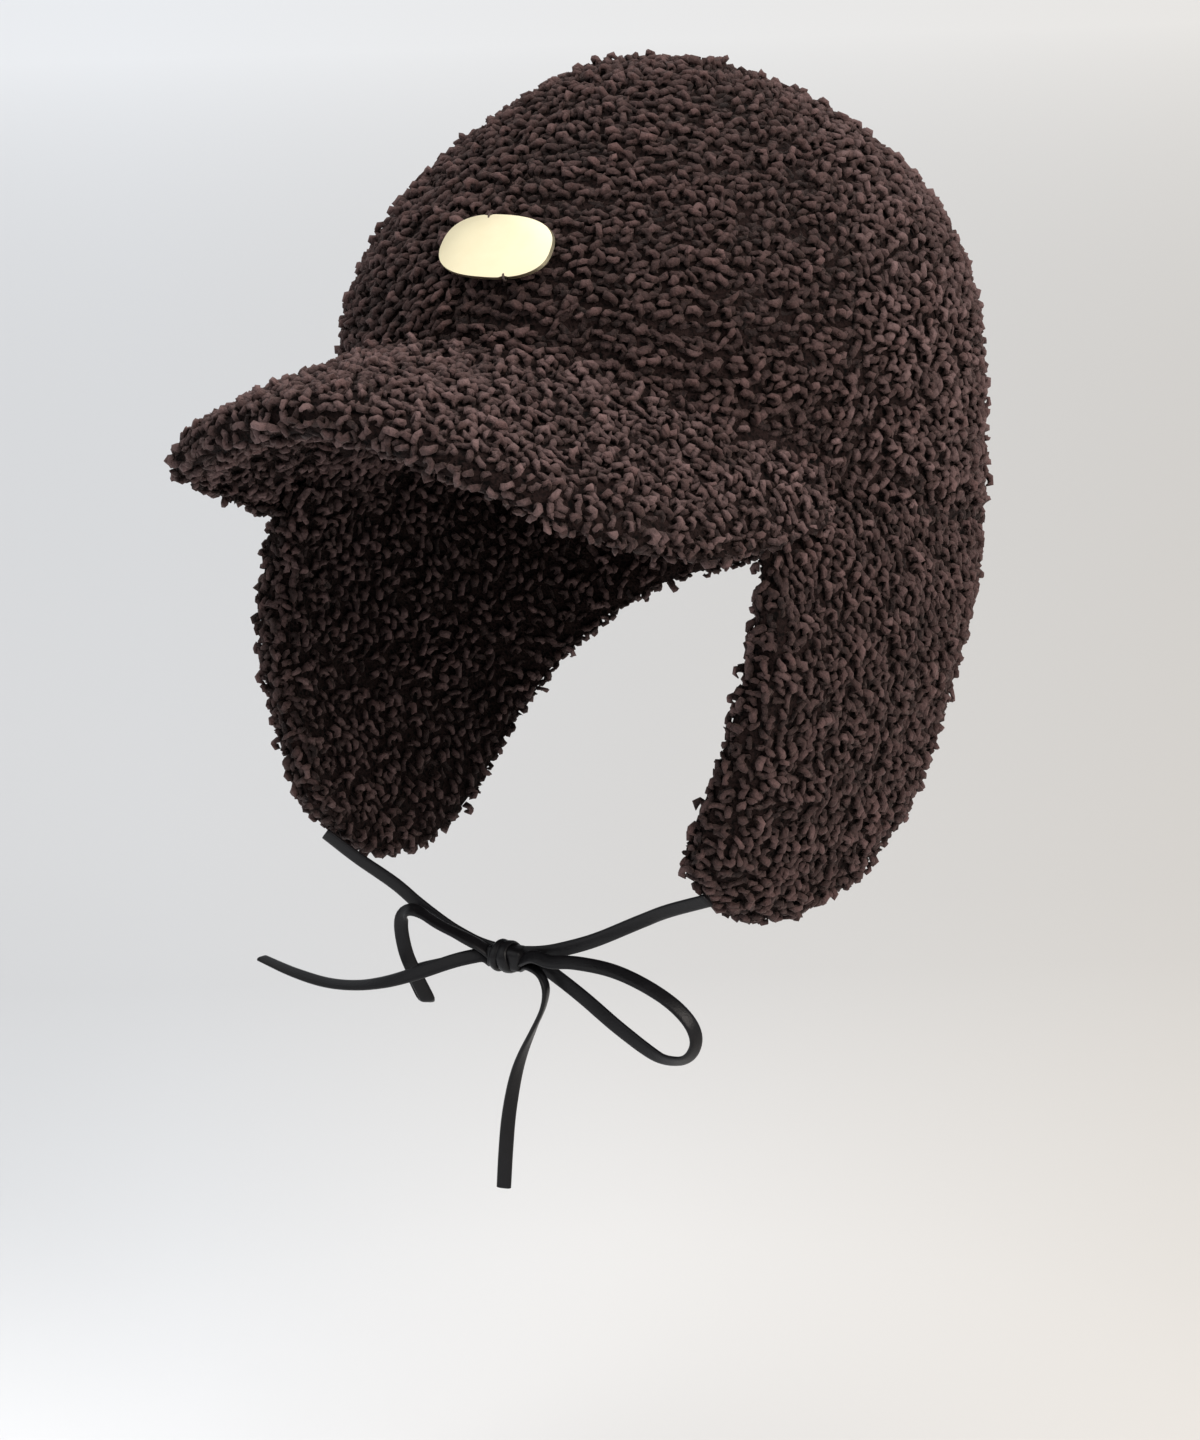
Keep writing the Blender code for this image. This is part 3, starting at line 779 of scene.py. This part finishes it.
def grow_crown(node, seed):
    body = bodies[node]
    front = "front" in node
    places, normals, rng = spread(body, crown_outside, CLOSE if front else FINE, seed)
    if node == "crown_front_left":
        places, deep, along = rows_across(places, normals, 0.10, 1.0)
    elif front:
        places, deep, along = rows_across(places, normals, 0.9, 0.6)
        along = along * 0.6 + steep(normals) * 0.8
    else:
        places, deep, along = rows_across(places, normals, 0.3, 0.22)
        along = level(normals) + steep(normals) * wander(places, 25 * MM, 3)[:, None] * 2
    deep = deep + wander(places, 14 * MM, 2) * 0.5 + seam_slope(places) * 0.5
    groove = seam_groove(places)
    # Painted light and shade: the front panels' yarn is painted darker and the back panels' lighter, by how
    # they stand to the lamp, and the yarn in the seam's groove is painted darker, as painted shade in the
    # crease.
    painted_tone = (FRONT_PAINTED_TONE if front else BACK_PAINTED_TONE) * (1 - 0.7 * groove)
    return plant(
        node + "_pile", places, normals, tangent(normals, along), rng, painted_tone,
        size=1.02, sunk=(np.clip(deep, 0, DEEPEST) + groove) * MM, loose=30 if front else 45,
    )


piles = {node: grow_crown(node, 11 + k) for k, node in enumerate(CROWN)}
for node in CROWN:
    close_top(bodies[node])

# %% Plant the brim and the earflaps


def brim_outside(places, flat):
    return (crown_reach(places) > 0.99).astype(float)


def brim_top(places, flat):
    return (flat[:, 2] > -0.35).astype(float)


def flap_outside(places, flat):
    """Everywhere but the wall under the crown's rim and the wall at the nape."""
    sewn_top = (flat[:, 2] > 0.75) & (places[:, 2] > -0.045)
    nape = (np.abs(places[:, 0]) < 0.5 * MM) & (np.abs(flat[:, 0]) > 0.8)
    return (~(sewn_top | nape)).astype(float)


def flap_seen(places, flat):
    """The outer face, the rim and the front edge."""
    backwards = flat[:, 1] * np.where(places[:, 1] > 0, 0.9, -0.5)
    outwards = flat[:, 0] * np.sign(places[:, 0]) * 0.9 + backwards
    return flap_outside(places, flat) * (outwards > -0.35)


def two_sides(body, whole, seen, seed):
    """Curls set close on the side that is seen, and wider apart on the rest of the whole."""
    near = spread(body, lambda places, flat: whole(places, flat) * seen(places, flat), TIGHT, seed)
    far = spread(body, lambda places, flat: whole(places, flat) * (1 - seen(places, flat)), THIN, seed + 50)
    return np.concatenate([near[0], far[0]]), np.concatenate([near[1], far[1]]), near[2]


def grow_brim(seed):
    places, normals, rng = two_sides(bodies["brim"], brim_outside, brim_top, seed)
    along = level(normals) + steep(normals) * wander(places, 12 * MM, 6)[:, None] * 3
    deep = 0.15 + wander(places, 11 * MM, 5) * 0.8
    # Painted light: the brim's yarn is painted lighter than the front panels', which stand in the lamp's
    # full light.
    return plant(
        "brim_pile", places, normals, tangent(normals, along), rng, 1.9,
        size=0.95, sunk=np.clip(deep, 0, DEEPEST) * 0.9 * MM, loose=60,
    )


def grow_flap(node, seed):
    places, normals, rng = two_sides(bodies[node], flap_outside, flap_seen, seed)
    hung = np.clip((places[:, 2] + 0.085) / 0.05, 0, 1)[:, None]
    stray = wander(places, 15 * MM, 7)[:, None]
    along = steep(normals) * (0.5 + hung) + level(normals) * stray * (1.6 - hung)
    deep = 0.4 + wander(places, 12 * MM, 8) * 0.9
    groove = seam_groove(places)
    # Painted light and shade: the seen side is painted darker, most of all where it faces forwards into the
    # lamp, the hidden sides lighter, and the yarn in the seam's groove darker, as painted shade in the
    # crease.
    lit = flap_seen(places, normals) * (1.2 + 0.35 * np.clip(-normals[:, 1], 0, 1))
    painted_tone = (2.0 - lit) * (1 - 0.7 * groove)
    return plant(
        node + "_pile", places, normals, tangent(normals, along), rng, painted_tone,
        size=0.96, sunk=(np.clip(deep, 0, DEEPEST) * 0.9 + groove * 1.6) * MM, loose=38,
    )


piles["brim"] = grow_brim(21)
for k, node in enumerate(FLAPS):
    piles[node] = grow_flap(node, 31 + k)
for curl in curls:
    bpy.data.objects.remove(curl)
total = 0
for pile in piles.values():
    count = sum(len(face.vertices) - 2 for face in pile.data.polygons)
    total += count
    print(pile.name, count, "triangles")
print("all the pile:", total, "triangles")

# %% [markdown]
# ## Shader maths as plain sums
# A material's pattern is a sum of small steps, and each step is a node. Placing Math nodes one by one hides
# the formula. A small class can wrap a node's output, so that `height * 0.5 + 0.2` adds the Math nodes by
# itself. Every other node comes from one method, which sets the node's settings first and then its sockets.

# %% A wire that can be added and multiplied


class Wire:
    """An output socket of a material's node tree."""

    def __init__(self, tree, socket=None):
        self.tree = tree
        self.socket = socket

    def node(self, kind, inputs=None, out=0, **settings):
        made = self.tree.nodes.new(kind)
        for key, value in settings.items():
            setattr(made, key, value)
        for key, value in (inputs or {}).items():
            if isinstance(value, Wire):
                self.tree.links.new(value.socket, made.inputs[key])
            else:
                made.inputs[key].default_value = value
        return Wire(self.tree, made.outputs[out])

    def math(self, operation, first, second=0.0, clamp=False):
        return self.node("ShaderNodeMath", {0: first, 1: second}, operation=operation, use_clamp=clamp)

    def __add__(self, other):
        return self.math("ADD", self, other)

    def __sub__(self, other):
        return self.math("SUBTRACT", self, other)

    def __rsub__(self, other):
        return self.math("SUBTRACT", other, self)

    def __mul__(self, other):
        return self.math("MULTIPLY", self, other)

    def __truediv__(self, other):
        return self.math("DIVIDE", self, other)

    __radd__ = __add__
    __rmul__ = __mul__

    def kept(self):
        """The value held between 0 and 1."""
        return self.math("ADD", self, 0.0, clamp=True)

    def mix(self, first, second):
        """A mix of two colours, with this wire as the share of the second."""
        return self.node("ShaderNodeMix", {0: self, 6: first, 7: second}, out=2, data_type="RGBA")

    def place(self):
        """The point's place in the object's own space."""
        return self.node("ShaderNodeTexCoord", out=3)


def finish_named(name, **constants):
    """A new material, a wire to build its nodes with, and its shader."""
    material = bpy.data.materials.new(name)
    material.use_nodes = True
    tree = material.node_tree
    shader = tree.nodes["Principled BSDF"]
    for key, value in constants.items():
        shader.inputs[key.replace("_", " ")].default_value = value
    return material, Wire(tree), shader


def plug(shader, **links):
    for key, wire in links.items():
        wire.tree.links.new(wire.socket, shader.inputs[key.replace("_", " ")])


def noise_at(wire, scale, detail=2.0, rough=0.5):
    return wire.node(
        "ShaderNodeTexNoise", {"Vector": wire.place(), "Scale": scale, "Detail": detail, "Roughness": rough}
    )


def bump(wire, height, strength, depth):
    return wire.node("ShaderNodeBump", {"Height": height, "Strength": strength, "Distance": depth})


# %% [markdown]
# ## The pile's finish
# The yarn is a dark brown, matt and slightly hairy. Each curl is painted lighter on top and darker at its
# foot: painted shade, for the light that hardly gets down between the curls. No two curls take the dye
# alike,
# so some are redder and some are greyer, and each piece's painted light and shade moves its whole panel too:
# darker pieces come out redder, lighter ones greyer. The height and shade numbers on the mesh give exactly
# that. Fine noise stands for the single hairs, and a weak sheen gives the soft light rim that wool shows at
# its edge. Little light gets down between the curls, so the backing is painted nearly black as painted
# shade, with ridges of noise for its knit. The lining inside is a plain dark twill.

# %% Pile, backing and lining
SHADOW, REDDISH, GREYISH = (0.016, 0.0087, 0.0083, 1), (0.160, 0.086, 0.080, 1), (0.143, 0.089, 0.086, 1)


def pile_finish():
    material, wire, shader = finish_named(
        "curly_pile", Roughness=0.7, Sheen_Weight=0.1, Sheen_Roughness=0.5, Sheen_Tint=(0.7, 0.48, 0.42, 1),
        Specular_IOR_Level=0.16,
    )
    shade = wire.node("ShaderNodeAttribute", out=2, attribute_name="shade")
    height = wire.node("ShaderNodeAttribute", out=2, attribute_name="height")
    hairs = noise_at(wire, 1150, 3, 0.65)
    patches = noise_at(wire, 38, 2)
    # The shade number is each curl's chance tint times its piece's painted light and shade. It sets both the
    # yarn's hue, from redder to greyer, and how bright the yarn is painted.
    yarn = shade.mix(REDDISH, GREYISH)
    # Painted shade: the yarn is painted darker towards each curl's foot, from its height, since little light
    # gets down between the curls. The hairs and patches are the yarn's own chance variation.
    lit = (height * 0.25 - 0.12 + (hairs - 0.5) * 0.95 + (patches - 0.5) * 0.35).kept()
    colour = lit.mix(SHADOW, yarn)
    strength = (0.35 + shade * 0.75).kept()
    relief = bump(wire, hairs + noise_at(wire, 700, 2) * 1.6, 0.8, 0.8 * MM)
    plug(shader, Base_Color=strength.mix((0, 0, 0, 1), colour), Normal=relief)
    return material


def backing_finish():
    material, wire, shader = finish_named("knit_backing", Roughness=0.95, Specular_IOR_Level=0.1)
    ridge = 1 - wire.math("ABSOLUTE", noise_at(wire, 520, 2) - 0.5) * 7
    lumps = (ridge * 0.7 + noise_at(wire, 900, 2) * 0.5).kept()
    # Painted shade: the backing is painted nearly black, since little light gets down between the curls.
    colour = lumps.mix((0.0015, 0.0009, 0.0008, 1), (0.016, 0.0088, 0.008, 1))
    plug(shader, Base_Color=colour, Normal=bump(wire, lumps, 0.8, 0.7 * MM))
    return material


def lining_finish():
    """A plain twill: slanting ribs a millimetre apart, broken up along their length."""
    material, wire, shader = finish_named("twill_lining", Roughness=0.7, Sheen_Weight=0.1)
    ribs = wire.node(
        "ShaderNodeTexWave",
        {"Vector": wire.place(), "Scale": 330.0, "Distortion": 1.2, "Detail": 1.0},
        out=1, wave_type="BANDS", bands_direction="DIAGONAL",
    )
    threads = noise_at(wire, 900, 2)
    cloth = (ribs * 0.6 + threads * 0.4).kept()
    colour = cloth.mix((0.016, 0.011, 0.010, 1), (0.050, 0.036, 0.032, 1))
    plug(shader, Base_Color=colour, Normal=bump(wire, ribs + threads * 0.5, 0.5, 0.3 * MM))
    return material


PILE, BACKING, LINING = pile_finish(), backing_finish(), lining_finish()

# %% [markdown]
# ## Leather and metal
# The strips are smooth near black leather. Light runs along them, so they need a clear but soft gloss, a
# fine grain, and paler streaks where the finish is rubbed. The plate is pale gold: a satin face with hardly
# visible scratches.

# %% Leather, thread and metal


def leather_finish():
    material, wire, shader = finish_named("strip_leather", Specular_IOR_Level=0.16)
    grain = wire.node("ShaderNodeTexVoronoi", {"Vector": wire.place(), "Scale": 1700.0})
    streaks = noise_at(wire, 160, 3, 0.6)
    colour = streaks.mix((0.003, 0.0029, 0.0033, 1), (0.008, 0.0077, 0.009, 1))
    relief = bump(wire, grain + streaks * 0.8, 0.25, 0.15 * MM)
    plug(shader, Base_Color=colour, Roughness=0.28 + streaks * 0.2, Normal=relief)
    return material


def gold_finish():
    material, wire, shader = finish_named("pale_gold", Metallic=1.0)
    marks = noise_at(wire, 260, 4, 0.6)
    colour = marks.mix((0.78, 0.69, 0.46, 1), (0.84, 0.77, 0.55, 1))
    relief = bump(wire, marks, 0.08, 0.1 * MM)
    plug(shader, Base_Color=colour, Roughness=0.32 + marks * 0.16, Normal=relief)
    return material


def thread_finish():
    material, wire, shader = finish_named("brown_thread", Roughness=0.8)
    ply = noise_at(wire, 2200, 2)
    colour = ply.mix((0.02, 0.012, 0.01, 1), (0.07, 0.045, 0.038, 1))
    plug(shader, Base_Color=colour, Normal=bump(wire, ply, 0.5, 0.1 * MM))
    return material


LEATHER, GOLD, THREAD = leather_finish(), gold_finish(), thread_finish()
for thing in [knot, *(entry[0] for entry in strips.values())]:
    thing.data.materials.clear()
    thing.data.materials.append(LEATHER)

# %% [markdown]
# ## The metal plate
# The plate is a thin oval of metal, fixed by two stitches that sit in small notches at its edge. It could be
# cut from a flat sheet and bent with a modifier. But it has to lie on the crown's own curve, so it is
# modelled flat, where insets and bevels are easy, and each point is then laid on the crown by its turn and
# rise.

# %% Model the plate flat
PLATE_WIDTH, PLATE_HEIGHT, PLATE_THICK = 33 * MM, 19.5 * MM, 1.2 * MM
PLATE_TURN, PLATE_RISE, TIP_BACK = math.radians(4.2), math.radians(13), math.radians(20)
NOTCHES = (math.radians(104), math.radians(-72))
PLATE_LIFT = 0.3 * MM


def oval_place(place):
    """Turns a point of a round disc into one of a fuller oval with two small notches."""
    angle = math.atan2(place.y, place.x)
    reach = math.hypot(place.x, place.y)
    u = math.copysign(abs(math.cos(angle)) ** 0.8, math.cos(angle))
    v = math.copysign(abs(math.sin(angle)) ** 0.8, math.sin(angle))
    bite = sum(math.exp(-(((angle - notch) / 0.05) ** 2)) for notch in NOTCHES) * 0.055 * reach**6
    size = reach * (1 - bite)
    return Vector((u * size * PLATE_WIDTH / 2, v * size * PLATE_HEIGHT / 2, place.z))


bpy.ops.mesh.primitive_circle_add(vertices=112, radius=1, fill_type="NGON")
plate = bpy.context.object
edit(plate, "FACE")
for thickness in (0.03, 0.12, 0.3):
    bpy.ops.mesh.inset(thickness=thickness)
edit(plate, "FACE")
bpy.ops.mesh.extrude_region_move(TRANSFORM_OT_translate={"value": (0, 0, PLATE_THICK)})
edit(plate, "EDGE", everything=False)
pick(plate, lambda place: place.z > PLATE_THICK / 2 and math.hypot(place.x, place.y) > 0.99)
bpy.ops.transform.resize(value=(0.975, 0.975, 1))
only(plate)
for vertex in plate.data.vertices:
    vertex.co = oval_place(vertex.co)
settle(plate, "oval_plate")
print("plate:", [round(c / MM, 1) for c in plate.dimensions], "mm,", len(plate.data.polygons), "faces")

# %% Lay the plate and its stitches on the crown


def crown_place(turn, rise, lift):
    """A point of the crown's form, lifted off it."""
    flat = math.cos(rise)
    side, front, up = flat * math.sin(turn), flat * math.cos(turn), math.sin(rise)
    back = up * math.sin(TIP_BACK) - front * math.cos(TIP_BACK)
    height = up * math.cos(TIP_BACK) + front * math.sin(TIP_BACK)
    half_sizes = Vector((HALF_WIDTH + lift, HALF_DEPTH + lift, DOME_HEIGHT + lift))
    return Vector((side, back, height)) * half_sizes * float(shoulder_ease(height))


def lay_on_crown(thing):
    """Moves a flat piece's points onto the crown at the plate's place."""
    step = 0.01
    left, right = (crown_place(PLATE_TURN + way * step, PLATE_RISE, 0) for way in (1, -1))
    above, below = (crown_place(PLATE_TURN, PLATE_RISE + way * step, 0) for way in (1, -1))
    across, upward = (left - right).length, (above - below).length
    for vertex in thing.data.vertices:
        turn = PLATE_TURN + vertex.co.x * 2 * step / across
        rise = PLATE_RISE + vertex.co.y * 2 * step / upward
        vertex.co = crown_place(turn, rise, vertex.co.z + PLATE_LIFT)
    thing.data.update()


def stitch(notch):
    """A loop of thread over the plate's edge."""
    at = oval_place(Vector((math.cos(notch), math.sin(notch), 0)))
    bpy.ops.mesh.primitive_torus_add(
        major_segments=20, minor_segments=8, major_radius=0.95 * MM, minor_radius=0.3 * MM,
        location=(at.x, at.y, 0.35 * MM), rotation=(math.radians(90), 0, notch),
    )
    loop = settle(bpy.context.object, "stitch")
    loop.data.materials.append(THREAD)
    bpy.ops.object.shade_smooth()
    return loop


stitches = [stitch(notch) for notch in NOTCHES]
for thing in (*stitches, plate):
    lay_on_crown(thing)
plate.data.materials.append(GOLD)
edit(plate)
bpy.ops.mesh.normals_make_consistent(inside=False)
only(plate)
bpy.ops.object.shade_smooth_by_angle(angle=math.radians(25))
only(plate, *stitches)
bpy.ops.object.join()
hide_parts("label_plate")
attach(plate, "root")

# %% [markdown]
# ## Put cloth and pile together
# Each cloth piece is now its backing and its curls. They are joined to one piece with a material for each,
# so that they always move together. The crown's inner face takes the lining instead of the backing. All of
# them are padded.


def line_inside(body):
    """Gives the crown's inner faces the lining."""
    body.data.materials.append(LINING)
    for face in body.data.polygons:
        inwards = face.normal.dot(face.center) < 0
        face.material_index = 1 if inwards else 0


for node, body in bodies.items():
    body.data.materials.append(BACKING)
    if node in CROWN:
        line_inside(body)
    piles[node].data.materials.append(PILE)
    only(body, piles[node])
    bpy.ops.object.join()
    settle(body, node + "_boucle")
    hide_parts(node)
    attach(body, "root")
    print(body.name, sum(len(face.vertices) - 2 for face in body.data.polygons), "triangles")

# %% [markdown]
# ## Floor and light
# The picture needs a plain pale floor and soft light. A broad panel of light stands to the front left, where
# the metal plate mirrors it, and a smaller and warmer one to the right. A wide soft sun, high up and a
# little behind, lights the floor evenly, and the sky fills the rest.

# %% Floor, lights and sky
FLOOR, AIM = -0.36, Vector((0, 0, -0.02))


def floor_finish():
    """Painted light on a pale sheet: cooler on the left, warmer on the right, lighter far away and close by.
    """
    material, wire, shader = finish_named("pale_floor", Roughness=0.85, Specular_IOR_Level=0.1)
    place = wire.node("ShaderNodeTexCoord", out=3)
    x, y = (wire.node("ShaderNodeSeparateXYZ", {0: place}, out=k) for k in (0, 1))
    depth = AWAY - x * TOWARDS.x - y * TOWARDS.y
    aside = ((x * RIGHT.x + y * RIGHT.y) / depth * 3.2 + 0.5).kept()
    far = ((depth - 1.6) / 5).kept()
    near = (1.5 - depth).kept()
    # Painted light: the floor is painted lighter far away and close by, and darker to the right, most of all
    # close by. It is painted cooler on the left and warmer on the right.
    light = 0.52 + far * 0.32 + near * 0.42 - aside * (0.06 + near * 0.25)
    tint = aside.mix((0.975, 1.0, 1.03, 1), (1.02, 1.0, 0.965, 1))
    plug(shader, Base_Color=light.mix((0, 0, 0, 1), tint))
    return material


bpy.ops.mesh.primitive_circle_add(vertices=96, radius=14, fill_type="NGON", location=(0, 0, FLOOR))
floor = settle(bpy.context.object, "floor")
floor.data.materials.append(floor_finish())


def lamp(kind, place, power, colour, **settings):
    """A light at a place, turned to the cap."""
    bpy.ops.object.light_add(type=kind, location=place)
    made = bpy.context.object
    made.data.energy = power
    made.data.color = colour
    for key, value in settings.items():
        setattr(made.data, key, value)
    made.rotation_mode = "QUATERNION"
    made.rotation_quaternion = (Vector(place) - AIM).to_track_quat("Z", "Y")


lamp("AREA", (-0.85, -1.45, 1.5), 18, (1.0, 0.985, 0.96), shape="RECTANGLE", size=2.5, size_y=2.4)
lamp("AREA", (1.7, -0.4, 1.0), 40, (1.0, 0.92, 0.85), shape="RECTANGLE", size=1.1, size_y=1.2)
lamp("SUN", (0.1, 0.35, 2.2), 1.75, (1.0, 0.97, 0.94), angle=math.radians(50))
sky = bpy.data.worlds.new("studio")
bpy.context.scene.world = sky
sky.use_nodes = True
background = sky.node_tree.nodes["Background"]
background.inputs["Color"].default_value = (0.93, 0.96, 1.0, 1)
background.inputs["Strength"].default_value = 0.5
bpy.context.scene.view_settings.view_transform = "Standard"
